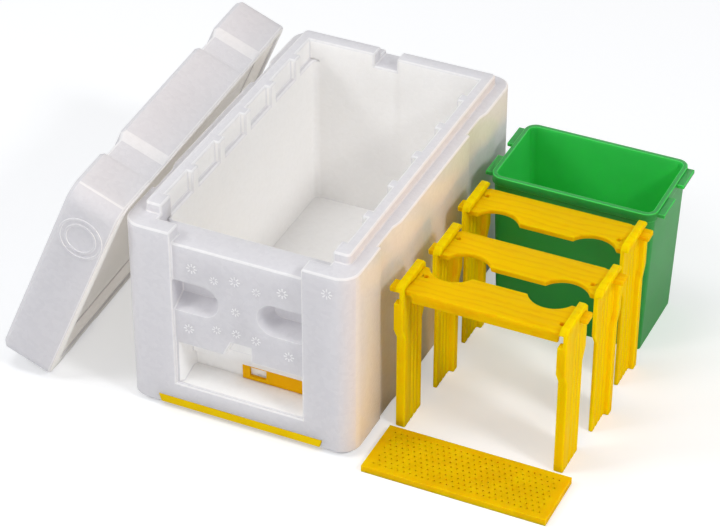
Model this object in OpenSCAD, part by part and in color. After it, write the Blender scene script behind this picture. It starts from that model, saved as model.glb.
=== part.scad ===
// Mini mating hive: a foam box with a lid, a floor slide, an entrance gate, three
// three-piece comb frames, a feeder tub and a pinhole vent plate.
// The box stands with its front to -Y and the middle of its underside at the origin.
// The lid leans on the left side. Frames, feeder and plate stand beside the right side.

/* [Box] */
// Outer width across the front
box_w = 150; // [144:1:165]
// Outer length from front to back
box_l = 242; // [236:1:262]
// Height of the shoulder that the lid sits on
box_h = 130.5; // [128:0.5:145]
// Radius of the upright outer corners
corner_r = 12; // [9:0.5:14]
// Radius of the upright inner corners
inner_r = 4; // [2:0.5:6]
// Thickness of the long side walls
side_wall = 19.5; // [18:0.5:22]
// Thickness of the front wall
front_wall = 24; // [23:0.5:28]
// Thickness of the back wall
back_wall = 19; // [17:0.5:22]
// Height of the inside floor
floor_top = 16.5; // [15:0.5:18]
// Bevel round the foot of the box
foot_bevel = 4; // [2:0.5:6]

/* [Rim] */
// Height of the raised rim above the shoulder
rim_h = 6.5; // [5:0.5:9]
// Distance of the rim's outer face from the outer wall
rim_inset = 8.5; // [6:0.5:10]
// Distance of the rim's free ends from the front
rim_start = 15.5; // [13:0.5:18]
// Radius of the rim's outer corners
rim_r = 3; // [1:0.5:4]
// Width of the ledge that carries the frame lugs
ledge_w = 3.5; // [2.5:0.5:4.5]
// Drop from the shoulder to the ledge and to the top of the front wall
ledge_drop = 7.7; // [6:0.1:9]
// Length of the teeth that keep the lugs apart
tooth_l = 8; // [5:0.5:9]
// Width of the notch through the rim and shoulder at the back
back_notch_w = 15.5; // [10:0.5:24]
// Sideways place of the back notch's middle
back_notch_x = -5.5; // [-20:0.5:20]
// Depth of the back notch below the rim's top
back_notch_h = 9; // [7:0.5:12]

/* [Front] */
// Width of each corner post
post_w = 32.5; // [29:0.5:35]
// Depth of each corner post's raised top
post_depth = 11.6; // [9:0.2:13]
// Depth of the panel behind the posts
panel_recess = 2; // [1:0.5:3]
// Length of each finger grip
grip_l = 30; // [24:0.5:32]
// Height of each finger grip
grip_h = 22; // [16:0.5:22]
// Height of the middle of the finger grips
grip_z = 86; // [82:0.5:92]
// Depth of each finger grip
grip_depth = 12; // [8:0.5:14]
// Slope of a grip's sides from its mouth to its back
grip_rise = 6; // [2:0.5:7]
// Height of the porch's front edge
porch_z = 20.5; // [18.5:0.5:22]
// Height of the porch opening
porch_h = 30; // [26:0.5:32]
// Depth of the porch
porch_depth = 16; // [13:0.5:16.5]
// Rise of the porch floor towards the gate
porch_ramp = 4.2; // [2:0.2:5]
// Taper of the porch's left side
jamb_left = 4; // [1:0.5:6]
// Taper of the porch's right side
jamb_right = 1; // [0.5:0.5:3]
// Width of the notch in the porch's upper edge at its mouth
lintel_w = 18; // [16:0.5:26]
// Distance that the notch's left side leans inwards
lintel_lean = 5; // [2:0.5:8]
// Sideways place of the notch's middle
lintel_x = -1; // [-2:0.5:4]
// Height of the notch in the porch's upper edge
lintel_h = 10.5; // [6:0.5:11]

/* [Entrance gate] */
// Length of the gate
gate_l = 47.5; // [42:0.5:49]
// Height of the gate that shows between its guides
gate_show = 11.2; // [9:0.2:13]
// Thickness of the gate
gate_t = 2.4; // [2:0.1:2.6]
// Running clearance round the gate
gate_gap = 0.2; // [0.15:0.05:0.3]
// Thickness of the foam lips in front of the gate
lip_t = 1.5; // [1.2:0.1:1.8]
// Overlap of the upper and lower lips on the gate
lip_over = 0.9; // [0.6:0.1:1.2]
// Length of the window in the gate
window_l = 11.2; // [8:0.2:14]
// Height of the window in the gate
window_h = 6.9; // [5:0.1:7.5]
// Distance of the window from the gate's left end
window_x = 4.7; // [3:0.1:6]
// Length of the bee entrance behind the gate
hole_l = 26; // [16:0.5:27]
// Height of the bee entrance behind the gate
hole_h = 8; // [6:0.5:8.5]
// Length of the catch slot that shows in the window
catch_l = 7; // [4:0.5:8]
// Height of the catch slot that shows in the window
catch_h = 1.2; // [1:0.1:2]

/* [Floor slide] */
// Width of the slide at its upper face
slide_w = 109.6; // [100:0.2:112]
// Thickness of the slide
slide_t = 5.5; // [4:0.5:6]
// Length of the slide
slide_l = 105; // [95:1:112]
// Height of the slide's underside
slide_z = 3.5; // [2:0.5:4]
// Inward lean of each dovetail edge
slide_lean = 1.6; // [1:0.1:2.5]
// Running clearance round the slide
slide_gap = 0.25; // [0.15:0.05:0.4]
// Width of the air opening in the floor above the slide
air_w = 80; // [60:1:90]
// Length of the air opening in the floor above the slide
air_l = 36; // [20:1:45]
// Distance of the air opening from the inside front wall
air_y = 14; // [10:1:18]

/* [Frames] */
// Distance from one frame to the next inside the box
slot_pitch = 35; // [33:0.5:37]
// Gap between the side bars of neighbouring frames
leg_gap = 1; // [0.5:0.25:2]
// Gap between a frame and the side wall
wall_gap = 1.5; // [1:0.25:2.5]
// Gap under the hanging frames
foot_gap = 6.8; // [5:0.2:9]
// Thickness of the top bar
bar_t = 3.5; // [3:0.25:4.5]
// Depth of the top bar from front to back
bar_d = 28; // [26:0.5:30]
// Depth of the stiffening flange below the top bar
flange_h = 4; // [2:0.5:6]
// Thickness of the stiffening flange
flange_t = 3; // [2:0.25:4]
// Chamfer of the top bar's rear corners
bar_chamfer = 4; // [2:0.5:6]
// Length of each bow cut in the top bar's front edge
bow_l = 27; // [20:0.5:30]
// Depth of each bow cut
bow_d = 8; // [5:0.5:9]
// Distance of each bow cut's middle from the end of the frame
bow_in = 23; // [20:0.5:25]
// Diameter of the pin holes near the ends of the top bar
pin_hole_d = 3; // [2:0.5:4]
// Distance of the pin holes from the ends of the top bar
pin_hole_x = 5; // [4:0.5:7]
// Distance of the pin holes from the middle line of the top bar
pin_hole_y = 5; // [2:0.5:7]
// Height of a side bar's end above the top bar
ridge_h = 4; // [2:0.5:5]
// Thickness of a side bar's flat web
web_t = 2.6; // [2:0.1:3.2]
// Thickness of the crest along a side bar's upper end
crest_t = 5; // [3.4:0.1:6]
// Thickness of a side bar over its edge rib
leg_t = 6; // [5:0.25:7]
// Depth of the edge rib
rib_d = 6; // [4:0.5:8]
// Width of the square that cuts each lengthwise groove in a side bar
groove_w = 1; // [0.6:0.1:1.2]
// Distance between neighbouring grooves in a side bar
groove_pitch = 5; // [4:0.5:5.5]
// Distance of the middle groove from a side bar's middle line
groove_y = 2; // [1:0.5:3]
// Step of the shoulder on both edges of a side bar
shoulder_step = 4.5; // [3:0.25:6]
// Height of the shoulder
shoulder_z = 75; // [66:1:80]
// Height of the slope below the shoulder
shoulder_ramp = 8; // [5:0.5:12]
// Chamfer of a side bar's upper corners
ridge_chamfer = 3; // [1:0.5:4]
// Width of each lug at the ends of the top bar
lug_w = 9; // [7:0.5:10]
// Distance of each lug from the middle line of the top bar
lug_y = 8.5; // [8:0.25:9]
// Gap between a lug's end and the foam
lug_gap = 0.5; // [0.3:0.1:1]
// Clearance of a lug in its side bar
tenon_gap = 0.2; // [0.1:0.05:0.3]

/* [Feeder] */
// Gap between the feeder's rim and each side wall
feeder_gap = 1.5; // [1:0.25:3]
// Room that the feeder leaves in its two frame places
feeder_room = 3; // [2.5:0.5:6]
// Thickness of the feeder's walls and bottom
feeder_wall = 1.8; // [1.4:0.1:2.4]
// Draft of each feeder wall from bottom to top
feeder_draft = 4; // [2:0.5:5]
// Radius of the feeder's upright corners at the top
feeder_r = 6.5; // [6:0.5:12]
// Height of the thickened band at the feeder's rim
band_h = 6; // [5:0.5:9]
// Thickness that the band adds
band_t = 1.2; // [0.8:0.1:1.6]
// Length of each hanging tab
tab_l = 20; // [12:0.5:22]
// Thickness of each hanging tab
tab_t = 2.6; // [2:0.2:3]
// Drop from the feeder's rim to the underside of the hanging tabs
tab_drop = 4; // [3.2:0.1:5]
// Gap under the hanging feeder
feeder_lift = 4.3; // [3.6:0.1:5]

/* [Vent plate] */
// Depth of the plate from front to back
plate_d = 42; // [36:1:50]
// Thickness of the plate
plate_t = 4.5; // [3.5:0.5:6]
// Width of a pinhole
pin_d = 1.3; // [1:0.1:2.2]
// Distance between neighbouring pinholes
pin_pitch = 3.9; // [3.6:0.1:5]
// Margin without pinholes
pin_margin = 4.5; // [3:0.5:8]

/* [Lid] */
// Thickness of the lid
lid_t = 34; // [32:1:40]
// Bevel round the lid's upper edge
lid_bevel = 2.5; // [1:0.5:3]
// Clearance between the lid's hollow and the box's rim
lid_gap = 0.6; // [0.4:0.1:1]
// Width of each strap groove's floor
strap_w = 20; // [14:1:24]
// Depth of the strap grooves in the lid
strap_cut = 3; // [2:0.5:4]
// Depth of the strap grooves in the sides of the box and lid
strap_side = 2; // [1:0.5:3]
// Length of the slope at the back of each strap groove
strap_slope = 8; // [4:0.5:10]
// Distance of the front strap groove from the front
strap_front = 50; // [44:1:60]
// Distance of the back strap groove from the front
strap_back = 181; // [170:1:190]
// Outer radius of the ring mark
ring_r = 14.5; // [10:0.5:14.5]
// Outer radius of the inner ring
ring_inner_r = 10.5; // [6:0.5:10.5]
// Width of each ring
ring_w = 1.4; // [1:0.2:2]
// Height of each ring
ring_h = 0.6; // [0.4:0.1:1]
// Distance of the ring mark from the lid's left edge
ring_x = 118; // [100:1:120]

/* [Layout] */
// Lean of the lid from upright, in degrees
lid_lean = 23.1; // [18:0.1:30]
// Turn of the leaning lid away from the box
lid_yaw = 2.2; // [0:0.2:5]
// Distance of the leaning lid in front of the box
lid_ahead = 6; // [0:1:12]
// Gap between the leaning lid and the shoulder's edge
lean_gap = 0.3; // [0.2:0.1:1]
// Gap between the box and the nearest frame
row_gap = 4.5; // [3:0.5:15]
// Distance of the plate in front of the box
row_ahead = 6; // [0:1:20]
// Gap from the plate to the first frame
plate_gap = 1.3; // [1:0.1:10]
// Gap from the first frame to the second
second_gap = 9.5; // [5:0.5:20]
// Gap from the second frame to the third
third_gap = 15; // [5:0.5:20]
// Gap from the third frame to the feeder
feeder_space = 5; // [3:0.5:15]
// Sideways place of the second frame
second_shift = 5.5; // [0:0.5:10]
// Sideways place of the third frame
third_shift = 3.5; // [0:0.5:10]
// Sideways place of the feeder
feeder_shift = 5; // [0:0.5:10]
// Sideways place of the plate
plate_shift = 3.7; // [0:0.1:10]

/* [Hidden] */
$fn = 48;
foam = [0.93, 0.93, 0.94];
yellow = [0.92, 0.72, 0.03];
green = [0.11, 0.58, 0.2];
// Reach of a cut past the face that it opens
cut = 1;
front_y = -box_l / 2;
inner_w = box_w - 2 * side_wall;
inner_l = box_l - front_wall - back_wall;
inner_front = front_y + front_wall;
inner_y = inner_front + inner_l / 2;
ledge_z = box_h - ledge_drop;
rim_top = box_h + rim_h;
slots = 5;
panel_w = box_w - 2 * post_w;
panel_y = front_y + panel_recess;
porch_back = front_y + porch_depth;
porch_left = jamb_left - panel_w / 2;
porch_right = panel_w / 2 - jamb_right;
porch_w = porch_right - porch_left;
porch_top = porch_z + porch_h;
gate_sill = porch_z + porch_ramp;
gate_h = gate_show + 2 * lip_over;
gate_y = porch_back + lip_t + gate_gap;
gate_x = porch_right - gate_gap - gate_l;
slide_low_w = slide_w - 2 * slide_lean;
lug_reach = inner_w / 2 + ledge_w - lug_gap;
frame_w = inner_w - 2 * wall_gap;
leg_d = slot_pitch - leg_gap;
bar_z = ledge_z - floor_top - foot_gap;
frame_h = bar_z + bar_t + ridge_h;
bar_left = -frame_w / 2 + web_t;
bar_right = frame_w / 2 - leg_t;
rib_top = bar_z - flange_h - cut;
crest_z = bar_z + bar_t + tenon_gap;
bow_x = frame_w / 2 - bow_in;
feeder_w = inner_w - 2 * feeder_gap;
feeder_d = 2 * slot_pitch - feeder_room;
tab_z = ledge_z - floor_top - feeder_lift;
feeder_h = tab_z + tab_drop;
plate_w = 2 * lug_reach;
strap_places = [strap_front, strap_back];
// Height where the leaning lid meets the box: the shoulder's edge, or the wall for a short lid
lean_h = min(box_h, box_w * cos(lid_lean));
lid_foot = lean_h * tan(lid_lean) + lean_gap / cos(lid_lean);
row_x = box_w / 2 + row_gap + lug_reach;
plate_y = front_y - row_ahead + plate_d / 2;
frame_1_y = plate_y + plate_d / 2 + plate_gap + leg_d / 2;
frame_2_y = frame_1_y + leg_d + second_gap;
frame_3_y = frame_2_y + leg_d + third_gap;
feeder_y = frame_3_y + leg_d / 2 + feeder_space + feeder_d / 2;

// Plan with rounded corners, centred
module rounded_plan(w, l, r) {
    square([w - 2 * r, l], center = true);
    square([w, l - 2 * r], center = true);
    for (sx = [-1, 1], sy = [-1, 1])
        translate([sx * (w / 2 - r), sy * (l / 2 - r)])
            circle(r);
}

// Points of a symmetric outline: [growth, height] points beside a half width, then their mirror image
function both_sides(half, profile) = concat(
    [for (p = profile) [half + p[0], p[1]]],
    [for (i = [len(profile) - 1 : -1 : 0]) [-half - profile[i][0], profile[i][1]]]
);

// Upright block with rounded corners whose four sides follow one profile from foot to top
module profiled_block(w, l, r, profile) {
    foot = profile[0][1];
    top = profile[len(profile) - 1][1];
    for (sx = [-1, 1], sy = [-1, 1])
        translate([sx * (w / 2 - r), sy * (l / 2 - r), 0])
            rotate_extrude()
                polygon(concat([[0, foot]], [for (p = profile) [r + p[0], p[1]]], [[0, top]]));
    from_front(r - l / 2, l - 2 * r)
        polygon(both_sides(w / 2, profile));
    from_side(0, w - 2 * r)
        polygon(both_sides(l / 2, profile));
}

// Front view (x, z) drawn from y back over a depth
module from_front(y, depth) {
    translate([0, y + depth, 0])
        rotate([90, 0, 0])
            linear_extrude(depth)
                children();
}

// Side view (y, z) drawn across a width centred on x
module from_side(x, width) {
    translate([x, 0, 0])
        rotate([90, 0, 90])
            linear_extrude(width, center = true)
                children();
}

// Outer block of the box with its bevelled foot
module box_block() {
    profiled_block(box_w, box_l, corner_r, [[-foot_bevel, 0], [0, foot_bevel], [0, box_h]]);
}

// Raised rim along both sides and the back, before the inside is cut
module rim_block() {
    rim_l = box_l - rim_start - rim_inset;
    translate([0, front_y + rim_start + rim_l / 2, ledge_z])
        linear_extrude(rim_top - ledge_z)
            rounded_plan(box_w - 2 * rim_inset, rim_l, rim_r);
}

// Inside of the box with the ledge for the lugs and the teeth between them
module inside() {
    translate([0, inner_y, floor_top])
        linear_extrude(rim_top)
            rounded_plan(inner_w, inner_l, inner_r);
    difference() {
        translate([0, inner_y, ledge_z])
            linear_extrude(rim_top)
                square([inner_w + 2 * ledge_w, inner_l], center = true);
        for (side = [-1, 1], n = [0 : slots])
            translate([
                side * (inner_w + ledge_w + cut) / 2, inner_front + n * slot_pitch, ledge_z + rim_top / 2
            ])
                cube([ledge_w + cut, tooth_l, 2 * rim_top], center = true);
    }
}

// Lowered top of the front wall between and behind the posts
module front_drop() {
    translate([-panel_w / 2, front_y - cut, ledge_z])
        cube([panel_w, front_wall + 2 * cut, rim_top]);
    translate([-inner_w / 2, front_y + post_depth, ledge_z])
        cube([inner_w, front_wall - post_depth + cut, rim_top]);
}

// Finger grip beside the left post: straight at the post, round at its inner end, narrower at its back
module grip() {
    half = grip_h / 2;
    back = panel_y + grip_depth;
    end_x = grip_l - half - panel_w / 2;
    translate([end_x, panel_y, grip_z])
        rotate([-90, 0, 0])
            rotate_extrude()
                polygon([
                    [0, -cut], [half, -cut], [half, 0], [half - grip_rise, grip_depth], [0, grip_depth]
                ]);
    from_side((end_x - panel_w / 2) / 2, end_x + panel_w / 2)
        translate([0, grip_z])
            polygon([
                [panel_y - cut, -half], [panel_y, -half], [back, grip_rise - half], [back, half - grip_rise],
                [panel_y, half], [panel_y - cut, half]
            ]);
}

// Porch with a rising floor, tapered sides and a notch in its upper edge
module porch() {
    intersection() {
        from_side(0, panel_w)
            polygon([
                [front_y - cut, porch_z], [front_y, porch_z], [porch_back, gate_sill],
                [porch_back, porch_top], [front_y - cut, porch_top]
            ]);
        linear_extrude(rim_top)
            polygon([
                [-panel_w / 2, front_y - cut], [panel_w / 2, front_y - cut], [panel_w / 2, front_y],
                [porch_right, front_y + jamb_right], [porch_right, porch_back],
                [porch_left, porch_back], [porch_left, front_y + jamb_left], [-panel_w / 2, front_y]
            ]);
    }
    from_front(front_y - cut, porch_depth / 2 + cut)
        translate([lintel_x, porch_top])
            polygon([
                [-lintel_w / 2, -cut], [lintel_w / 2, -cut], [lintel_w / 2, lintel_h],
                [lintel_lean - lintel_w / 2, lintel_h], [-lintel_w / 2, 0]
            ]);
}

// Guides of the gate, the bee entrance behind it and the catch slot in its window
module gate_way() {
    translate([porch_left, porch_back - cut, gate_sill])
        cube([porch_w, cut + lip_t, gate_show]);
    translate([porch_left, porch_back + lip_t, gate_sill - lip_over - gate_gap])
        cube([porch_w, gate_t + 2 * gate_gap, gate_h + 2 * gate_gap]);
    translate([porch_right - hole_l - cut, porch_back + lip_t, gate_sill + cut])
        cube([hole_l, front_wall, hole_h]);
    translate([gate_x + window_x + window_l - catch_l, gate_y, gate_sill + (gate_show - window_h) / 2])
        cube([catch_l, 2 * gate_t, catch_h]);
}

// Dovetail way for the floor slide, open below, with the air opening above it
module slide_way() {
    top_half = slide_w / 2 + slide_gap;
    low_half = slide_low_w / 2 + slide_gap;
    from_front(front_y - cut, cut + slide_l + slide_gap)
        polygon([
            [-low_half, -cut], [low_half, -cut], [low_half, slide_z], [top_half, slide_z + slide_t],
            [top_half, slide_z + slide_t + slide_gap], [-top_half, slide_z + slide_t + slide_gap],
            [-top_half, slide_z + slide_t], [-low_half, slide_z]
        ]);
    translate([-air_w / 2, inner_front + air_y, slide_z])
        cube([air_w, air_l, floor_top]);
}

// Plan of one strap groove in a side face, with its slope at the back
module strap_plan(place) {
    polygon([
        [-cut, place - strap_w / 2], [strap_side, place - strap_w / 2], [strap_side, place + strap_w / 2],
        [0, place + strap_w / 2 + strap_slope], [-cut, place + strap_w / 2 + strap_slope]
    ]);
}

// Strap grooves in both long sides of the box
module box_straps() {
    for (side = [0, 1], place = strap_places)
        mirror([side, 0, 0])
            translate([-box_w / 2, front_y, -cut])
                linear_extrude(rim_top)
                    strap_plan(place);
}

module hive_body() {
    color(foam)
        difference() {
            union() {
                box_block();
                rim_block();
            }
            inside();
            front_drop();
            translate([-panel_w / 2, front_y - cut, porch_z])
                cube([panel_w, panel_recess + cut, rim_top]);
            grip();
            mirror([1, 0, 0])
                grip();
            porch();
            gate_way();
            slide_way();
            box_straps();
            translate([back_notch_x - back_notch_w / 2, inner_y, rim_top - back_notch_h])
                cube([back_notch_w, box_l, rim_top]);
        }
}

// One raised ring of the mark on the lid's front end
module ring(radius) {
    from_front(-ring_h, ring_h + cut)
        translate([ring_x, (lid_t - lid_bevel) / 2])
            difference() {
                circle(radius);
                circle(radius - ring_w);
            }
}

// Lid as it lies on the box, its left front lower corner at the origin
module lid_shape() {
    difference() {
        translate([box_w / 2, box_l / 2, 0])
            profiled_block(box_w, box_l, corner_r, [[0, 0], [0, lid_t - lid_bevel], [-lid_bevel, lid_t]]);
        translate([rim_inset - lid_gap, rim_start - lid_gap, -cut])
            cube([
                box_w - 2 * rim_inset + 2 * lid_gap, box_l - rim_start - rim_inset + 2 * lid_gap,
                rim_h + lid_gap + cut
            ]);
        for (place = strap_places) {
            from_side(box_w / 2, box_w + 2 * cut)
                translate([place, lid_t])
                    polygon([
                        [-strap_w / 2, cut], [-strap_w / 2, -strap_cut], [strap_w / 2, -strap_cut],
                        [strap_w / 2 + strap_slope, 0], [strap_w / 2 + strap_slope, cut]
                    ]);
            translate([0, 0, -cut])
                linear_extrude(lid_t + 2 * cut)
                    strap_plan(place);
            translate([box_w, 0, -cut])
                mirror([1, 0, 0])
                    linear_extrude(lid_t + 2 * cut)
                        strap_plan(place);
        }
    }
    ring(ring_r);
    ring(ring_inner_r);
}

module roof_lid() {
    color(foam)
        translate([-box_w / 2, front_y + corner_r, 0])
            rotate([0, 0, lid_yaw])
                translate([-lid_foot, -corner_r - lid_ahead, 0])
                    rotate([0, lid_lean - 90, 0])
                        lid_shape();
}

module floor_slide() {
    color(yellow)
        from_front(front_y, slide_l)
            polygon([
                [-slide_low_w / 2, slide_z], [slide_low_w / 2, slide_z],
                [slide_w / 2, slide_z + slide_t], [-slide_w / 2, slide_z + slide_t]
            ]);
}

module entrance_gate() {
    color(yellow)
        from_front(gate_y, gate_t)
            translate([gate_x, gate_sill - lip_over])
                difference() {
                    square([gate_l, gate_h]);
                    translate([window_x, (gate_h - window_h) / 2])
                        square([window_l, window_h]);
                }
}

// Staggered rows of pinholes that fill the plate inside its margin
module pinholes() {
    columns = floor((plate_w - 2 * pin_margin) / pin_pitch);
    rows = floor((plate_d - 2 * pin_margin) / pin_pitch);
    for (row = [0 : rows], column = [0 : columns - row % 2])
        translate([(column - (columns - row % 2) / 2) * pin_pitch, (row - rows / 2) * pin_pitch])
            circle(d = pin_d, $fn = 6);
}

module vent_plate() {
    color(yellow)
        translate([row_x + plate_shift, plate_y, 0])
            linear_extrude(plate_t)
                difference() {
                    square([plate_w, plate_d], center = true);
                    pinholes();
                }
}

module feeder() {
    top_w = feeder_w - 2 * band_t;
    top_d = feeder_d - 2 * band_t;
    low_w = top_w - 2 * feeder_draft;
    low_d = top_d - 2 * feeder_draft;
    low_r = feeder_r - feeder_draft;
    color(green)
        translate([row_x + feeder_shift, feeder_y, 0])
            difference() {
                union() {
                    profiled_block(low_w, low_d, low_r, [[0, 0], [feeder_draft, feeder_h]]);
                    translate([0, 0, feeder_h - band_h])
                        linear_extrude(band_h)
                            rounded_plan(feeder_w, feeder_d, feeder_r + band_t);
                    for (place = [-1, 1])
                        translate([-lug_reach, place * slot_pitch / 2 - tab_l / 2, tab_z])
                            cube([2 * lug_reach, tab_l, tab_t]);
                }
                translate([0, 0, feeder_wall])
                    profiled_block(
                        low_w - 2 * feeder_wall, low_d - 2 * feeder_wall, low_r - feeder_wall,
                        [[0, 0], [feeder_draft, feeder_h]]
                    );
            }
}

// Outline of a side bar seen from its end, wider above the shoulder
module side_bar_outline() {
    low = leg_d / 2 - shoulder_step;
    high = leg_d / 2;
    knee = shoulder_z - shoulder_ramp;
    polygon([
        [-low, 0], [low, 0], [low, knee], [high, shoulder_z], [high, frame_h - ridge_chamfer],
        [high - ridge_chamfer, frame_h], [ridge_chamfer - high, frame_h],
        [-high, frame_h - ridge_chamfer], [-high, shoulder_z], [-low, knee]
    ]);
}

// Side bar of a frame: a grooved web with a rib on its rear edge and a thick crest over the top bar
module side_bar(side) {
    left = side < 0 ? -frame_w / 2 : frame_w / 2 - leg_t;
    low = leg_d / 2 - shoulder_step;
    high = leg_d / 2;
    knee = shoulder_z - shoulder_ramp;
    difference() {
        union() {
            from_side(left + web_t / 2, web_t)
                side_bar_outline();
            from_side(left + crest_t / 2, crest_t)
                intersection() {
                    side_bar_outline();
                    translate([-high, crest_z])
                        square([leg_d, ridge_h]);
                }
            from_side(left + leg_t / 2, leg_t)
                polygon([
                    [low - rib_d, 0], [low, 0], [low, knee], [high, shoulder_z], [high, rib_top],
                    [high - rib_d, rib_top], [high - rib_d, shoulder_z], [low - rib_d, knee]
                ]);
        }
        translate([left - cut, side * lug_y - lug_w / 2 - tenon_gap, bar_z - tenon_gap])
            cube([leg_t + 2 * cut, lug_w + 2 * tenon_gap, bar_t + 2 * tenon_gap]);
        for (face = [left, left + web_t], place = [-1 : 1])
            translate([face, place * groove_pitch - groove_y, -cut])
                linear_extrude(rib_top)
                    rotate(45)
                        square(groove_w, center = true);
    }
}

// Top bar of a frame with two bow cuts in its front edge and a lug at each end
module top_bar() {
    bow_r = (bow_l * bow_l / 4 + bow_d * bow_d) / (2 * bow_d);
    back = bar_d / 2;
    translate([0, 0, bar_z])
        linear_extrude(bar_t)
            difference() {
                union() {
                    polygon([
                        [bar_left, -back], [bar_right, -back], [bar_right, back - bar_chamfer],
                        [bar_right - bar_chamfer, back], [bar_left + bar_chamfer, back],
                        [bar_left, back - bar_chamfer]
                    ]);
                    translate([-lug_reach, -lug_y - lug_w / 2])
                        square([lug_reach, lug_w]);
                    translate([0, lug_y - lug_w / 2])
                        square([lug_reach, lug_w]);
                }
                for (side = [-1, 1])
                    translate([side * bow_x, bow_d - bow_r - back])
                        circle(bow_r);
                translate([bar_left + pin_hole_x, pin_hole_y])
                    circle(d = pin_hole_d);
                translate([bar_right - pin_hole_x, -pin_hole_y])
                    circle(d = pin_hole_d);
            }
    translate([bar_left + bar_chamfer, back - flange_t, bar_z - flange_h])
        cube([bar_right - bar_left - 2 * bar_chamfer, flange_t, flange_h + bar_t / 2]);
}

// Places of the three frames: the first is turned end for end
module at_frame_1() {
    color(yellow)
        translate([row_x, frame_1_y, 0])
            rotate([0, 0, 180])
                children();
}

module at_frame_2() {
    color(yellow)
        translate([row_x + second_shift, frame_2_y, 0])
            children();
}

module at_frame_3() {
    color(yellow)
        translate([row_x + third_shift, frame_3_y, 0])
            children();
}

module frame_1_top_bar() {
    at_frame_1()
        top_bar();
}

module frame_1_left_side_bar() {
    at_frame_1()
        side_bar(-1);
}

module frame_1_right_side_bar() {
    at_frame_1()
        side_bar(1);
}

module frame_2_top_bar() {
    at_frame_2()
        top_bar();
}

module frame_2_left_side_bar() {
    at_frame_2()
        side_bar(-1);
}

module frame_2_right_side_bar() {
    at_frame_2()
        side_bar(1);
}

module frame_3_top_bar() {
    at_frame_3()
        top_bar();
}

module frame_3_left_side_bar() {
    at_frame_3()
        side_bar(-1);
}

module frame_3_right_side_bar() {
    at_frame_3()
        side_bar(1);
}

hive_body();
roof_lid();
floor_slide();
entrance_gate();
vent_plate();
feeder();
frame_1_top_bar();
frame_1_left_side_bar();
frame_1_right_side_bar();
frame_2_top_bar();
frame_2_left_side_bar();
frame_2_right_side_bar();
frame_3_top_bar();
frame_3_left_side_bar();
frame_3_right_side_bar();
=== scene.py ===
# %% [markdown]
# # A mini mating hive for honey bees
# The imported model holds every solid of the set: a foam box with its lid, a gate, a floor slide,
# three small comb frames, a feeder tub and a vent plate. This lesson dresses those solids: it
# rounds the edges that moulding leaves round, adds the marks of the mould, and gives each
# material its grain, beads or gloss. Lengths are in metres, in the frame of the solids. Limits
# that only sort edges and faces are in millimetres, and say so.

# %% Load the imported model
from math import cos, pi, radians, sin

import bmesh
import bpy
from mathutils import Matrix, Vector


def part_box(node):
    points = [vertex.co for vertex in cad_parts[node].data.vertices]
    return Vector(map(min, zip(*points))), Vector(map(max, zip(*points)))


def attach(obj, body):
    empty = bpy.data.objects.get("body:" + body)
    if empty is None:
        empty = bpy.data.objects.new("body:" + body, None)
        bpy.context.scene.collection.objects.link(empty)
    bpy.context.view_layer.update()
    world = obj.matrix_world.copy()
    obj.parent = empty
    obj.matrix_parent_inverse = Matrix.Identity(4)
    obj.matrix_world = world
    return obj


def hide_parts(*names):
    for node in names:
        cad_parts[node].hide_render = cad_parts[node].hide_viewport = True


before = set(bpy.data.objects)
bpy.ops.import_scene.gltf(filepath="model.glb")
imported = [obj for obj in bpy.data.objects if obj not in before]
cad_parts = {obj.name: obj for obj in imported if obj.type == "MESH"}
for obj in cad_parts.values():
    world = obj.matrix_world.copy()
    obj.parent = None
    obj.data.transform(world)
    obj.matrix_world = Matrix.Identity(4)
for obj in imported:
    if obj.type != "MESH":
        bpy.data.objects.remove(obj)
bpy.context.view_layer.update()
MM = 0.001

# %% [markdown]
# ## The camera
# The picture was taken with a long lens from the front right, well above the box. A long lens
# keeps upright edges nearly parallel. The camera's place and turn were fitted to the corners of
# the box, so they are written as plain numbers. Its axes are built from azimuth and elevation,
# because a matrix of three axes leaves no doubt about the order of the turns.

# %% Camera
AZIMUTH = radians(24.828)
ELEVATION = radians(35.53)
EYE = Vector((0.6002, -1.2456, 1.0305))
FOCAL_LENGTH = 135.56
SENSOR_WIDTH = 36

scene = bpy.context.scene


def add_object(name, data):
    thing = bpy.data.objects.new(name, data)
    scene.collection.objects.link(thing)
    return thing


right = Vector((cos(AZIMUTH), sin(AZIMUTH), 0))
back = Vector((sin(AZIMUTH) * cos(ELEVATION), -cos(AZIMUTH) * cos(ELEVATION), sin(ELEVATION)))
up = back.cross(right)
camera_data = bpy.data.cameras.new("photo_camera")
camera_data.sensor_fit = "HORIZONTAL"
camera_data.sensor_width = SENSOR_WIDTH
camera_data.lens = FOCAL_LENGTH
camera = add_object("photo_camera", camera_data)
camera.matrix_world = Matrix.Translation(EYE) @ Matrix((right, up, back)).transposed().to_4x4()
scene.camera = camera
scene.view_settings.view_transform = "Standard"
print("camera at", [round(value, 3) for value in EYE])

# %% [markdown]
# ## Nodes in short
# A material is a small net of nodes. Five helpers keep the nets readable: one starts a material
# with a Principled shader, one sets sockets by their names, one adds a node, one joins two sockets,
# and one makes a ramp from a deep tone to a light one.

# %% Helpers for materials
def start_material(name):
    material = bpy.data.materials.new(name)
    material.use_nodes = True
    return material, material.node_tree, material.node_tree.nodes["Principled BSDF"]


def set_sockets(node, **sockets):
    for key, value in sockets.items():
        node.inputs[key.replace("_", " ")].default_value = value


def add_node(tree, kind, settings=None, **sockets):
    node = tree.nodes.new(kind)
    for key, value in (settings or {}).items():
        setattr(node, key, value)
    set_sockets(node, **sockets)
    return node


def join(tree, source, output, target, socket):
    tree.links.new(source.outputs[output], target.inputs[socket])


def add_ramp(tree, deep, light, start, end):
    ramp = add_node(tree, "ShaderNodeValToRGB")
    first, last = ramp.color_ramp.elements
    first.color = (*deep, 1)
    first.position = start
    last.color = (*light, 1)
    last.position = end
    return ramp


print("material helpers ready")

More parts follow.
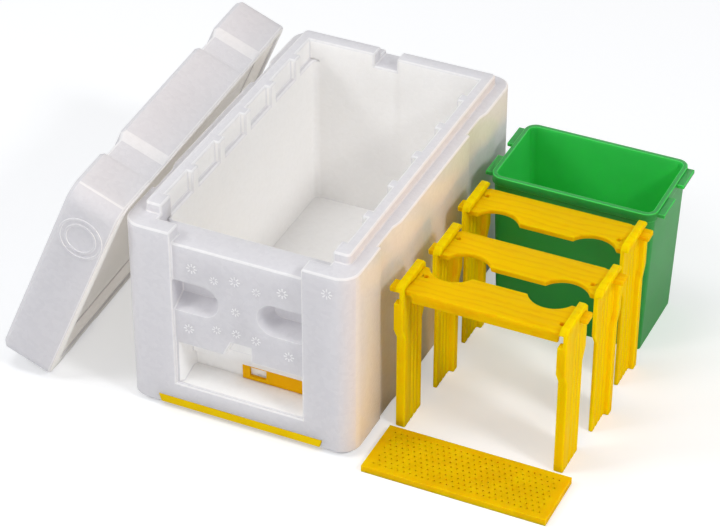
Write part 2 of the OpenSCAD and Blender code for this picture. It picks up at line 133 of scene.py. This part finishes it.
# %% [markdown]
# ## Floor, sky and lamps
# The set stands on white paper. The sky gives an even light, and a plain white to the camera and
# to reflections. The floor is pale, with a glow for the camera's own rays alone, so the paper reads
# as white and still keeps every shadow. A broad lamp overhead makes the tops the brightest faces.
# One on the left shapes the lid, and one high on the right reaches into the box and throws the main
# shadows. Two lie low, so the inside of the box hardly sees them: one in front opens up the shade,
# and a warm one on the right stands for the light that the yellow plastics throw.

# %% Sky
SKY_STRENGTH = 0.4
SKY_TINT = (0.97, 0.98, 1.0, 1)
WHITE = (1, 1, 1, 1)

world = bpy.data.worlds.new("white_studio")
world.use_nodes = True
scene.world = world
tree = world.node_tree
sky = tree.nodes["Background"]
set_sockets(sky, Color=SKY_TINT, Strength=SKY_STRENGTH)
paper_white = add_node(tree, "ShaderNodeBackground", Color=WHITE, Strength=1)
rays = add_node(tree, "ShaderNodeLightPath")
seen = add_node(tree, "ShaderNodeMath", {"operation": "MAXIMUM"})
shown = add_node(tree, "ShaderNodeMath", {"operation": "MAXIMUM"})
sky_or_white = add_node(tree, "ShaderNodeMixShader")
join(tree, rays, "Is Camera Ray", seen, 0)
join(tree, rays, "Is Glossy Ray", seen, 1)
join(tree, seen, 0, shown, 0)
join(tree, rays, "Is Transmission Ray", shown, 1)
join(tree, shown, 0, sky_or_white, 0)
join(tree, sky, 0, sky_or_white, 1)
join(tree, paper_white, 0, sky_or_white, 2)
join(tree, sky_or_white, 0, tree.nodes["World Output"], "Surface")
print("sky strength", SKY_STRENGTH)

# %% Floor
FLOOR_HALF = 6
FLOOR_COLOUR = (0.69, 0.7, 0.715, 1)
FLOOR_ROUGHNESS = 0.9
FLOOR_WHITE = 0.415


def add_piece(name, shape, finishes):
    mesh = bpy.data.meshes.new(name)
    shape.to_mesh(mesh)
    shape.free()
    for finish in finishes:
        mesh.materials.append(finish)
    return add_object(name, mesh)


paper, tree, shader = start_material("white_paper")
set_sockets(shader, Base_Color=FLOOR_COLOUR, Roughness=FLOOR_ROUGHNESS, Specular_IOR_Level=0)
glow = add_node(tree, "ShaderNodeEmission", Color=WHITE)
rays = add_node(tree, "ShaderNodeLightPath")
level = add_node(tree, "ShaderNodeMath", {"operation": "MULTIPLY"})
level.inputs[1].default_value = FLOOR_WHITE
both = add_node(tree, "ShaderNodeAddShader")
join(tree, rays, "Is Camera Ray", level, 0)
join(tree, level, 0, glow, "Strength")
join(tree, shader, 0, both, 0)
join(tree, glow, 0, both, 1)
join(tree, both, 0, tree.nodes["Material Output"], "Surface")

floor_shape = bmesh.new()
bmesh.ops.create_grid(floor_shape, x_segments=1, y_segments=1, size=FLOOR_HALF)
floor = add_piece("paper_floor", floor_shape, [paper])
print("floor", 2 * FLOOR_HALF, "m square")

# %% Lamps
MIDDLE = Vector((0.02, 0, 0.07))
WARM = (1, 0.45, 0.05)
LAMPS = {
    "top_lamp": {"place": (-0.3, -0.2, 1.9), "size": (0.7, 0.7), "power": 7.5},
    "left_lamp": {"place": (-1.1, -0.9, 1.35), "size": (0.5, 0.5), "power": 8},
    "front_lamp": {"place": (0.3, -1.9, 0.12), "size": (0.8, 0.2), "power": 5},
    "right_lamp": {"place": (1.45, -0.47, 1.45), "size": (0.3, 0.3), "power": 11},
    "warm_lamp": {"place": (1.7, 0.05, 0.08), "size": (0.5, 0.12), "power": 6, "tint": WARM},
}


def soft_lamp(name, place, size, power, tint=(1, 1, 1)):
    data = bpy.data.lights.new(name, "AREA")
    data.shape = "RECTANGLE"
    data.size, data.size_y = size
    data.energy = power
    data.color = tint
    lamp = add_object(name, data)
    turn = (MIDDLE - Vector(place)).to_track_quat("-Z", "Y")
    lamp.matrix_world = Matrix.Translation(place) @ turn.to_matrix().to_4x4()


for lamp_name, lamp_values in LAMPS.items():
    soft_lamp(lamp_name, **lamp_values)
print("lamps:", list(LAMPS))

# %% [markdown]
# ## Bead foam
# The box and lid are expanded bead foam: thousands of small white beads, steamed in a mould until
# they press flat against each other. Modelled one by one they would take millions of faces. Voronoi
# cells are that same packing, so one Voronoi pattern gives both the faint seams and the slight change
# of tone from bead to bead. Its cells are read in Object coordinates, so a bead has the same size on
# every face. Foam lets light through, and light bounces round the hollow, so thin, rounded edges and
# the hollow of the box look brighter than the outer skin. That light is painted into their colour:
# the rounded edges and the slopes of the strap grooves get a paler tone, a painted highlight, and the
# hollow a paler, warmer one, painted light. The lid's underside is lit mostly by what comes through
# the lid. A faint glow and a pale, warm tone paint that light in, and a fainter glow in the hollow.
# The long sides lie against a smooth mould plate, so they are shinier and mirror the frames a little.
# Their paler, warmer tone is painted light: it stands for the warm light that the yellow frames throw.

# %% Helper for bead foam
BEAD = 2.6 * MM
BEAD_SHUFFLE = 0.9
PATCH_SCALE = 28
PATCH_SHARE = 0.4
DUST_SCALE = 1500
SEAM_SHARE = 0.22
FOAM_DEPTH = 18 * MM
FOAM_DEPTH_TINT = (1, 0.98, 0.94)
FOAM_GLOW_TINT = (1, 0.93, 0.84, 1)


def bead_foam(name, pale, dull, through=0.45, glow=0, rough=0.82, shine=0.25):
    material, tree, shader = start_material(name)
    cells = {"Scale": 1 / BEAD, "Randomness": BEAD_SHUFFLE}
    place = add_node(tree, "ShaderNodeTexCoord")
    beads = add_node(tree, "ShaderNodeTexVoronoi", **cells)
    seams = add_node(tree, "ShaderNodeTexVoronoi", {"feature": "DISTANCE_TO_EDGE"}, **cells)
    patches = add_node(tree, "ShaderNodeTexNoise", Scale=PATCH_SCALE, Detail=3)
    dust = add_node(tree, "ShaderNodeTexNoise", Scale=DUST_SCALE, Detail=2)
    bead_value = add_node(tree, "ShaderNodeSeparateColor")
    tone = add_node(tree, "ShaderNodeMix", {"data_type": "FLOAT"})
    tone.inputs[0].default_value = PATCH_SHARE
    colour = add_ramp(tree, dull, pale, start=0.15, end=0.75)
    smooth = {"interpolation_type": "SMOOTHSTEP"}
    dome = add_node(tree, "ShaderNodeMapRange", smooth, From_Max=SEAM_SHARE)
    domes = add_node(tree, "ShaderNodeBump", Strength=0.3, Distance=0.1 * MM)
    grit = add_node(tree, "ShaderNodeBump", Strength=0.2, Distance=0.08 * MM)
    for texture in (beads, seams, patches, dust):
        join(tree, place, "Object", texture, "Vector")
    join(tree, beads, "Color", bead_value, 0)
    join(tree, bead_value, 0, tone, 2)
    join(tree, patches, 0, tone, 3)
    join(tree, tone, 0, colour, 0)
    join(tree, colour, 0, shader, "Base Color")
    join(tree, seams, "Distance", dome, 0)
    join(tree, dome, 0, domes, "Height")
    join(tree, dust, 0, grit, "Height")
    join(tree, domes, 0, grit, "Normal")
    join(tree, grit, 0, shader, "Normal")
    set_sockets(shader, Roughness=rough, Specular_IOR_Level=shine, Subsurface_Weight=through)
    set_sockets(shader, Subsurface_Radius=FOAM_DEPTH_TINT, Subsurface_Scale=FOAM_DEPTH)
    set_sockets(shader, Emission_Color=FOAM_GLOW_TINT, Emission_Strength=glow)
    return material


print("beads of", BEAD / MM, "mm")

# %% Bead foam finishes
FOAM = bead_foam("bead_foam", pale=(0.755, 0.742, 0.768), dull=(0.725, 0.712, 0.74))
# Paler than the outer skin: a painted highlight for the rounded edges and the strap slopes.
EDGE_HIGHLIGHT_FOAM = bead_foam("edge_highlight_bead_foam", pale=(0.88, 0.865, 0.875), dull=(0.85, 0.835, 0.845))
# Paler and warmer than the outer skin, with a faint glow: painted light for the hollow and the porch.
HOLLOW_LIT_FOAM = bead_foam(
    "hollow_lit_bead_foam", pale=(0.97, 0.955, 0.94), dull=(0.945, 0.93, 0.915), glow=0.02
)
# Pale, warm and glowing: painted light for the lid's underside and hollow, lit by what comes through the
# lid.
GLOWING_FOAM = bead_foam(
    "glowing_bead_foam", pale=(0.95, 0.93, 0.9), dull=(0.92, 0.9, 0.87), glow=0.15
)
# Paler than the wall: a painted highlight on the steam marks.
MARK_HIGHLIGHT_FOAM = bead_foam(
    "mark_highlight_bead_foam", pale=(0.98, 0.97, 0.98), dull=(0.95, 0.94, 0.95), through=0
)
# Paler and warmer than the front: painted light for the warm light the yellow frames throw. The low
# roughness and strong shine are the smooth mould skin.
SIDE_WARM_LIT_FOAM = bead_foam(
    "side_warm_lit_bead_foam", pale=(0.86, 0.84, 0.825), dull=(0.83, 0.81, 0.795), through=0.3, rough=0.2, shine=1
)
foams = (FOAM, EDGE_HIGHLIGHT_FOAM, HOLLOW_LIT_FOAM, GLOWING_FOAM, MARK_HIGHLIGHT_FOAM, SIDE_WARM_LIT_FOAM)
print("made", [finish.name for finish in foams])

# %% [markdown]
# ## Yellow plastic with moulded grain
# The frames are moulded to look like sawn wood: fine lines run along each bar. A picture of wood could
# be wrapped round the bars, but it would show its seams. A Wave pattern of bands, stretched along the
# bar and bent by its own distortion, gives such lines on every face, and a stretched noise breaks them
# up. The same net serves every bar: the helper takes the axis of the stretch, the pitch and the depth.

# %% Helper for grained yellow plastic
WAVE_REPEAT = 0.314
GRAIN_STRETCH = 0.3
FIBRE_SCALE = 620
FIBRE_SHARE = 0.5
YELLOW_DEPTH = 7 * MM
YELLOW_DEPTH_TINT = (1, 0.55, 0.02)


def grained_yellow(name, lit, deep, axis, pitch, depth):
    material, tree, shader = start_material(name)
    stretch = [1, 1, 1]
    stretch[axis] = GRAIN_STRETCH
    place = add_node(tree, "ShaderNodeTexCoord")
    along = add_node(tree, "ShaderNodeMapping", Scale=stretch)
    # At a scale of 1 the Wave pattern repeats every WAVE_REPEAT metres.
    lines = add_node(
        tree, "ShaderNodeTexWave", {"bands_direction": "Y"},
        Scale=WAVE_REPEAT / pitch, Distortion=5, Detail=2, Detail_Scale=1.6, Detail_Roughness=0.5,
    )
    fibres = add_node(tree, "ShaderNodeTexNoise", Scale=FIBRE_SCALE, Detail=3)
    relief = add_node(tree, "ShaderNodeMix", {"data_type": "FLOAT"})
    relief.inputs[0].default_value = FIBRE_SHARE
    colour = add_ramp(tree, deep, lit, start=0.15, end=0.45)
    polish = add_node(tree, "ShaderNodeMapRange", To_Min=0.5, To_Max=0.36)
    bump = add_node(tree, "ShaderNodeBump", Strength=0.6, Distance=depth)
    join(tree, place, "Object", along, "Vector")
    join(tree, along, 0, lines, "Vector")
    join(tree, along, 0, fibres, "Vector")
    join(tree, lines, "Fac", relief, 2)
    join(tree, fibres, 0, relief, 3)
    join(tree, relief, 0, colour, 0)
    join(tree, relief, 0, polish, 0)
    join(tree, relief, 0, bump, "Height")
    join(tree, colour, 0, shader, "Base Color")
    join(tree, polish, 0, shader, "Roughness")
    join(tree, bump, 0, shader, "Normal")
    set_sockets(shader, Specular_IOR_Level=0.02, Subsurface_Weight=0.75)
    set_sockets(shader, Subsurface_Radius=YELLOW_DEPTH_TINT, Subsurface_Scale=YELLOW_DEPTH)
    return material


print("fibres at scale", FIBRE_SCALE)

# %% Grained yellow finishes
# Bars and legs are one plastic. The legs' paler tone is painted light that lifts the shade on their
# upright faces, and the top bars' deeper tone is painted against the light that falls on them from
# above.
BAR_GRAIN = grained_yellow(
    "yellow_bar_grain", lit=(0.9, 0.54, 0.001), deep=(0.83, 0.45, 0.001),
    axis=0, pitch=5.5 * MM, depth=0.35 * MM,
)
LEG_GRAIN_SHADE_LIFTED = grained_yellow(
    "yellow_leg_grain_shade_lifted", lit=(1, 0.66, 0.001), deep=(0.95, 0.58, 0.001),
    axis=2, pitch=7 * MM, depth=0.2 * MM,
)
print("made", BAR_GRAIN.name, "and", LEG_GRAIN_SHADE_LIFTED.name)

# %% [markdown]
# ## Smooth plastics
# The gate, slide and plate are plain yellow mouldings, and the tub is green. Even smooth plastic
# isn't one flat colour: its tone drifts a little, and the mould leaves a fine orange-peel skin that
# breaks up the gloss. One helper makes them all from two colours, a roughness and a skin depth. The
# tub's wall is thin and lets light through, so its inside and its rim look brighter: they are painted
# a lighter green, painted light, and its rounded edges take that green too, a painted highlight.

# %% Helper for smooth plastic
PEEL_SCALE = 900
SMOOTHER_BY = 0.05
ROUGHER_BY = 0.08
PLASTIC_DEPTH = 5 * MM


def smooth_plastic(name, light, deep, rough, shine, drift, skin, through=0):
    material, tree, shader = start_material(name)
    place = add_node(tree, "ShaderNodeTexCoord")
    cloud = add_node(tree, "ShaderNodeTexNoise", Scale=drift, Detail=4)
    peel = add_node(tree, "ShaderNodeTexNoise", Scale=PEEL_SCALE, Detail=2)
    colour = add_ramp(tree, deep, light, start=0.3, end=0.7)
    spread = {"To_Min": rough - SMOOTHER_BY, "To_Max": rough + ROUGHER_BY}
    polish = add_node(tree, "ShaderNodeMapRange", **spread)
    bump = add_node(tree, "ShaderNodeBump", Strength=0.3, Distance=skin)
    for texture in (cloud, peel):
        join(tree, place, "Object", texture, "Vector")
    join(tree, cloud, 0, colour, 0)
    join(tree, cloud, 0, polish, 0)
    join(tree, peel, 0, bump, "Height")
    join(tree, colour, 0, shader, "Base Color")
    join(tree, polish, 0, shader, "Roughness")
    join(tree, bump, 0, shader, "Normal")
    depth_tint = [value / max(light) for value in light]
    set_sockets(shader, Specular_IOR_Level=shine, Subsurface_Weight=through)
    set_sockets(shader, Subsurface_Radius=depth_tint, Subsurface_Scale=PLASTIC_DEPTH)
    return material


print("orange peel at scale", PEEL_SCALE)

# %% Smooth plastic finishes
GATE_YELLOW = smooth_plastic(
    "gate_yellow", light=(0.9, 0.455, 0.002), deep=(0.82, 0.385, 0.001),
    rough=0.4, shine=0.04, drift=60, skin=0.06 * MM, through=0.4,
)
SLIDE_YELLOW = smooth_plastic(
    "slide_yellow", light=(0.94, 0.65, 0.003), deep=(0.85, 0.55, 0.002),
    rough=0.45, shine=0.03, drift=50, skin=0.08 * MM,
)
PLATE_YELLOW = smooth_plastic(
    "plate_yellow", light=(0.93, 0.57, 0.002), deep=(0.83, 0.47, 0.002),
    rough=0.5, shine=0.04, drift=90, skin=0.12 * MM, through=0.95,
)
TUB_SKIN = {"rough": 0.32, "shine": 0.4, "drift": 25, "skin": 0.05 * MM, "through": 0.5}
TUB_GREEN = smooth_plastic(
    "tub_green", light=(0.022, 0.37, 0.066), deep=(0.017, 0.32, 0.053), **TUB_SKIN
)
# Lighter green: painted light on the inside and a painted highlight on the rounded edges.
TUB_LIT_GREEN = smooth_plastic(
    "tub_lit_green", light=(0.045, 0.65, 0.105), deep=(0.035, 0.57, 0.085), **TUB_SKIN
)
plastics = (GATE_YELLOW, SLIDE_YELLOW, PLATE_YELLOW, TUB_GREEN, TUB_LIT_GREEN)
print("made", [finish.name for finish in plastics])

# %% [markdown]
# ## Rounded edges
# A solid's edges are perfectly sharp, and nothing moulded is. The solids can't be changed, so each
# is copied, its loose triangles are merged, and the triangles that lie in one plane are dissolved
# into one face. A face with a hole in it can't be one face, so such a piece is first cut through its
# middle: the kept cuts meet the edges squarely, which is what a bevel needs. Then the sharp edges get
# a bevel weight, which a Bevel modifier turns into a radius. A rule gives each edge its own width,
# because foam is soft at its rim and crisp round the gate, and no edge gets more than it has room for.
# Where a piece has several finishes, the radius takes the second one, which is paler: a painted
# highlight on the rounded edges.

# %% Find sharp edges and merge flat faces
CUT_WELD = 1e-6
FLAT_TURN = radians(0.3)


def paired_edges(shape):
    return [edge for edge in shape.edges if len(edge.link_faces) == 2]


def sharp_edges(shape, least_turn):
    return [edge for edge in paired_edges(shape) if edge.calc_face_angle() > least_turn]


def merge_flat_faces(shape, cuts):
    kept = shape.edges.layers.int.new("kept_cut")
    for point, normal in cuts:
        everything = shape.verts[:] + shape.edges[:] + shape.faces[:]
        made = bmesh.ops.bisect_plane(
            shape, geom=everything, dist=CUT_WELD, plane_co=point, plane_no=normal
        )
        for part in made["geom_cut"]:
            if isinstance(part, bmesh.types.BMEdge):
                part[kept] = 1
    loose = [edge for edge in paired_edges(shape) if not edge[kept]]
    flat = [edge for edge in loose if edge.calc_face_angle() < FLAT_TURN]
    bmesh.ops.dissolve_edges(shape, edges=flat, use_verts=True)


print("faces within", round(FLAT_TURN, 4), "rad of one plane are merged")

# %% Room beside an edge
ROOM_SHARE = 0.4
CORNER_TURN = radians(140)
STRAIGHT_TURN = radians(178)


def room_beside(edge):
    # The widest radius that runs into no neighbour, in the faces and along the corners of the edge.
    least = 1.0
    for corner in edge.verts:
        own = (edge.other_vert(corner).co - corner.co).normalized()
        for face in edge.link_faces:
            across = max(own.cross(other.co - corner.co).length for other in face.verts)
            least = min(least, across)
        for side in corner.link_edges:
            if side == edge or not set(side.link_faces) & set(edge.link_faces):
                continue
            reach = side.other_vert(corner).co - corner.co
            turn = own.angle(reach)
            if turn < CORNER_TURN:
                least = min(least, own.cross(reach).length)
            elif turn < STRAIGHT_TURN:
                # Both edges are steps of one curve, so its radius is the limit.
                least = min(least, (edge.calc_length() + reach.length) / (pi - turn) / 2)
    return ROOM_SHARE * least


print("a radius takes at most", ROOM_SHARE, "of the room beside it")

# %% Softened copies
WELD = 2e-6
# Edges that turn by more than this are rounded.
ROUNDED_TURN = radians(50)
# Edges that turn by more than this and get no radius are shaded as a crease.
CREASE_TURN = radians(20)
ROUND_STEPS = 3


def add_rounding(piece, width, slot):
    bevel = piece.modifiers.new("rounded", "BEVEL")
    bevel.limit_method = "WEIGHT"
    bevel.width = width
    bevel.segments = ROUND_STEPS
    bevel.profile = 0.5
    bevel.material = slot
    bevel.use_clamp_overlap = False
    bevel.harden_normals = True


def softened(node, body, finishes, width, rule=None, cuts=(), choose=None):
    shape = bmesh.new()
    shape.from_mesh(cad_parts[node].data)
    bmesh.ops.remove_doubles(shape, verts=shape.verts, dist=WELD)
    merge_flat_faces(shape, cuts)
    shape.normal_update()
    weight = shape.edges.layers.float.new("bevel_weight_edge")
    for edge in sharp_edges(shape, ROUNDED_TURN):
        wanted = rule(edge) if rule else width
        edge[weight] = min(width, wanted, room_beside(edge)) / width
    for face in shape.faces:
        face.smooth = True
        face.material_index = finishes.index(choose(face)) if choose else 0
    for edge in sharp_edges(shape, CREASE_TURN):
        edge.smooth = edge[weight] > 0
    piece = add_piece("soft_" + node, shape, finishes)
    # The rounded edges take the second, paler finish: a painted highlight.
    add_rounding(piece, width, 1 if len(finishes) > 1 else -1)
    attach(piece, body)
    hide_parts(node)
    return piece


print("softening helper ready")

# %% [markdown]
# ## The foam box
# The box is one moulding. Its rim, posts and shoulder are what hands touch, so their edges are the
# roundest. The guides of the gate and the way of the slide hold plastic pieces with a fraction of a
# millimetre to spare: there the rule gives a hairline radius, so nothing closes up or opens. The
# lowest edges, round the foot, stay sharp. One width for all would be shorter, but it would eat the
# guides or leave the rim sharp. The zones are boxes, each given by its lowest and highest corner in
# millimetres. Left and right are alike, so x is taken without its sign, apart from the jamb at the
# gate's end.

# %% Rule for the box's edges
BOX_WIDTH = 1.2 * MM
BOX_INNER_WIDTH = 0.7 * MM
BOX_HAIRLINE = 0.12 * MM
FOOT_TOP = 4.6
# Where a zone is open on a side, its limit lies outside everything.
OUTSIDE = 200
GUIDE_FRONT = 3
GUIDE_BACK = 6
GUIDE_TOP = 2
WAY_SIDE = 2
WAY_TOP = 9
GATE_LOW, GATE_HIGH = [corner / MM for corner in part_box("entrance_gate")]
SLIDE_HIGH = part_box("floor_slide")[1] / MM
GUIDES = (
    (-OUTSIDE, GATE_LOW.y - GUIDE_FRONT, -OUTSIDE),
    (OUTSIDE, GATE_HIGH.y + GUIDE_BACK, GATE_HIGH.z + GUIDE_TOP),
)
SLIDE_WAY = (
    (-OUTSIDE, -OUTSIDE, -OUTSIDE),
    (SLIDE_HIGH.x + WAY_SIDE, OUTSIDE, SLIDE_HIGH.z + WAY_TOP),
)
GRIPS = ((11.5, -OUTSIDE, 73.5), (42, -100, 98.5))
GATE_JAMB = ((40, -OUTSIDE, -OUTSIDE), (43.5, -118, 52))


def within(point, zone):
    return all(low < value < high for low, value, high in zip(zone[0], point, zone[1]))


def edge_middle(edge):
    return (edge.verts[0].co + edge.verts[1].co) / 2


def box_edge(edge):
    x, y, z = edge_middle(edge) / MM
    crisp = any(within((abs(x), y, z), zone) for zone in (GUIDES, SLIDE_WAY, GRIPS))
    if z < FOOT_TOP:
        return 0
    if crisp or within((x, y, z), GATE_JAMB):
        return BOX_HAIRLINE
    return BOX_WIDTH if edge.is_convex else BOX_INNER_WIDTH


print("widths on the box:", BOX_WIDTH, BOX_INNER_WIDTH, BOX_HAIRLINE, "m")

# %% Soften the box
HOLLOW = ((-OUTSIDE, -97.5, 16), (59.5, 102.5, 136))
PORCH = ((-OUTSIDE, -118.5, 20), (43, -97.5, 60))
# Above this height the level faces in the hollow are the tops of the ledge and its teeth.
LEDGE_FOOT = 100
SIDE_START = 70
FACING = 0.9
# The cuts pass through the grips, the porch and the hollow.
CUTS_ACROSS = (-31.4, -0.9, 6, 30.9)
CUT_ALONG = 25.5
ACROSS = Vector((1, 0, 0))
ALONG = Vector((0, 1, 0))


# The porch and the hollow, all but the tops of the ledge, take the paler, warmer hollow finish: painted
# light.
def box_finish(face):
    x, y, z = face.calc_center_median() / MM
    folded = (abs(x), y, z)
    on_ledge = z > LEDGE_FOOT and face.normal.z > FACING
    if within(folded, PORCH) or (within(folded, HOLLOW) and not on_ledge):
        return HOLLOW_LIT_FOAM
    # The long sides take the glossy side finish, whose paler, warmer tone is painted light.
    on_side = abs(x) > SIDE_START and abs(face.normal.x) > FACING
    return SIDE_WARM_LIT_FOAM if on_side else FOAM


BOX_CUTS = [((x * MM, 0, 0), ACROSS) for x in CUTS_ACROSS]
BOX_CUTS.append(((0, CUT_ALONG * MM, 0), ALONG))
BOX_FINISHES = (FOAM, EDGE_HIGHLIGHT_FOAM, HOLLOW_LIT_FOAM, SIDE_WARM_LIT_FOAM)
box = softened("hive_body", "hive_body", BOX_FINISHES, BOX_WIDTH, box_edge, BOX_CUTS, box_finish)
print("foam box:", len(box.data.polygons), "faces before rounding")

# %% [markdown]
# ## The foam lid
# The lid is a second moulding of the same foam, taken off and leaning on the box. Its own axes are
# turned: one turn for the lean and a small one for the yaw. The rules could ask where an edge lies in
# the room, but every limit would then be slanted, so they turn the point back into the lid first. The
# two thin rings of the mark on its end are only a little over a millimetre wide, so they get a
# hairline radius. The fronts of the strap grooves stay sharp, and the rest gets a soft edge like the
# box's. Limits are in millimetres on the lid.

# %% Rule for the lid's edges
LID_CORNER = Vector((-130.27, -129.14, 0)) * MM
LID_YAW = radians(2.2)
LID_LEAN = radians(23.1 - 90)
LID_TURN = Matrix.Rotation(LID_YAW, 3, "Z") @ Matrix.Rotation(LID_LEAN, 3, "Y")
LID_WIDTH = 1.4 * MM
LID_INNER_WIDTH = 0.8 * MM
RING_WIDTH = 0.15 * MM
RING_MIDDLE = Vector((118, 0, 15.75))
RING_REACH = 15.5
RING_DEPTH = 1
STRAP_FRONTS = (40, 171)
STRAP_NEAR = 0.5


def from_lid(x, y, z):
    return LID_CORNER + LID_TURN @ (Vector((x, y, z)) * MM)


def to_lid(point):
    return LID_TURN.transposed() @ (point - LID_CORNER) / MM


def lid_edge(edge):
    middle = to_lid(edge_middle(edge))
    if middle.y < RING_DEPTH and (middle - RING_MIDDLE).length < RING_REACH:
        return RING_WIDTH
    if min(abs(middle.y - front) for front in STRAP_FRONTS) < STRAP_NEAR:
        return 0
    return LID_WIDTH if edge.is_convex else LID_INNER_WIDTH


print("widths on the lid:", LID_WIDTH, LID_INNER_WIDTH, RING_WIDTH, "m")

# %% Soften the lid
LID_HOLLOW = ((4, 4, -OUTSIDE), (146, 238, 28))
DOWNWARD = -0.5
STRAP_SLOPE = -0.2
LID_HALF = 121


def lid_finish(face):
    normal = LID_TURN.transposed() @ face.normal
    # The underside and the hollow of the lid take the pale glowing finish: painted light.
    if normal.z < DOWNWARD or within(to_lid(face.calc_center_median()), LID_HOLLOW):
        return GLOWING_FOAM
    # The slopes of the strap grooves take the paler edge finish: a painted highlight.
    on_strap_slope = abs(normal.x) > FACING and normal.y < STRAP_SLOPE
    return EDGE_HIGHLIGHT_FOAM if on_strap_slope else FOAM


LID_CUTS = [
    (from_lid(RING_MIDDLE.x, 0, 0), LID_TURN @ ACROSS),
    (from_lid(0, LID_HALF, 0), LID_TURN @ ALONG),
]
LID_FINISHES = (FOAM, EDGE_HIGHLIGHT_FOAM, GLOWING_FOAM)
lid = softened("roof_lid", "lid", LID_FINISHES, LID_WIDTH, lid_edge, LID_CUTS, lid_finish)
print("foam lid:", len(lid.data.polygons), "faces before rounding")

# %% [markdown]
# ## Steam marks
# Steam enters the mould through small slotted nozzles, and each leaves a star of raised strokes on
# the foam. A bump pattern could draw them, but real strokes catch the light from every side. They are
# tiny boxes with rounded edges, half sunk in the wall: eight round each middle, all in one mesh. Each
# star has its place across and up the wall and its reach, in millimetres, read from the picture. The
# strokes' length, width and distance from the middle are shares of that reach.

# %% Steam marks on the front
FACE_Y = -119
POST_Y = -121
FACE_STARS = [
    (-29.5, 108, 3.8), (-15, 103.7, 3), (-1.4, 107, 3.8), (12.6, 103.7, 3), (29.5, 108, 3.8),
    (-1.4, 85, 3.1),
    (-33, 63.2, 3.6), (-14.4, 68, 3.1), (-1.4, 69, 3.1), (11.6, 68, 3.3), (33, 63.2, 3.6),
]
POST_STARS = [(58.9, 118, 3.8)]
STROKES = 8
STROKE_LENGTH = 0.55
STROKE_WIDTH = 0.22
STROKE_PLACE = 0.66
STROKE_THICKNESS = 0.3 * MM
STROKE_RADIUS = 0.1 * MM


def add_star(shape, middle, reach):
    size = Matrix.Diagonal((STROKE_LENGTH * reach, STROKE_THICKNESS, STROKE_WIDTH * reach, 1))
    out = Matrix.Translation((STROKE_PLACE * reach, 0, 0))
    for number in range(STROKES):
        spun = Matrix.Rotation(number * 2 * pi / STROKES, 4, "Y")
        stroke = Matrix.Translation(middle) @ spun @ out @ size
        bmesh.ops.create_cube(shape, size=1, matrix=stroke)


star_shape = bmesh.new()
for wall_y, places in ((FACE_Y, FACE_STARS), (POST_Y, POST_STARS)):
    for x, z, reach in places:
        add_star(star_shape, Vector((x, wall_y, z)) * MM, reach * MM)
bmesh.ops.bevel(
    star_shape, geom=star_shape.edges[:], offset=STROKE_RADIUS,
    segments=2, profile=0.5, affect="EDGES", material=-1,
)
# The strokes are paler than the wall: a painted highlight on top of the light they catch.
stars = add_piece("steam_marks", star_shape, [MARK_HIGHLIGHT_FOAM])
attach(stars, "hive_body")
print("steam marks:", len(FACE_STARS + POST_STARS), "stars,", len(stars.data.polygons), "faces")

# %% [markdown]
# ## Plastic pieces
# The moulded plastics have crisper edges than the foam. The gate and the slide keep a hairline radius
# because they run in guides, and the frames a wider one, as worn moulds give. The tub is rounded
# outside and at its rim only: its inner corners meet the floor in steps too short for a radius, so
# they stay sharp. The vent plate keeps its solid, because its more than two hundred pinholes have no
# room for a radius, and only gets its finish.

# %% Soften the slide and the gate
SLIDE_WIDTH = 0.3 * MM
GATE_WIDTH = 0.25 * MM

slide = softened("floor_slide", "floor_slide", [SLIDE_YELLOW], SLIDE_WIDTH)
gate = softened("entrance_gate", "entrance_gate", [GATE_YELLOW], GATE_WIDTH)
print("made", slide.name, "and", gate.name)

# %% Soften the tub
TUB_WIDTH = 0.5 * MM
TUB_MIDDLE = sum(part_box("feeder"), Vector()) / 2


def tub_edge(edge):
    return TUB_WIDTH if edge.is_convex else 0


def tub_finish(face):
    # Inward faces that don't look down take the lighter green: painted light.
    inward = face.normal.dot(TUB_MIDDLE - face.calc_center_median()) > 0
    return TUB_LIT_GREEN if inward and face.normal.z > DOWNWARD else TUB_GREEN


tub = softened("feeder", "feeder", (TUB_GREEN, TUB_LIT_GREEN), TUB_WIDTH, tub_edge, choose=tub_finish)
print("tub:", len(tub.data.polygons), "faces before rounding")

# %% Finish the plate and soften the frames
FRAME_WIDTH = 0.9 * MM
FRAME_BARS = {"top_bar": BAR_GRAIN, "left_side_bar": LEG_GRAIN_SHADE_LIFTED, "right_side_bar": LEG_GRAIN_SHADE_LIFTED}

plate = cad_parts["vent_plate"]
plate.data.materials.clear()
plate.data.materials.append(PLATE_YELLOW)
for number in (1, 2, 3):
    body = f"frame_{number}"
    for bar, grain in FRAME_BARS.items():
        softened(f"{body}_{bar}", body, [grain], FRAME_WIDTH)
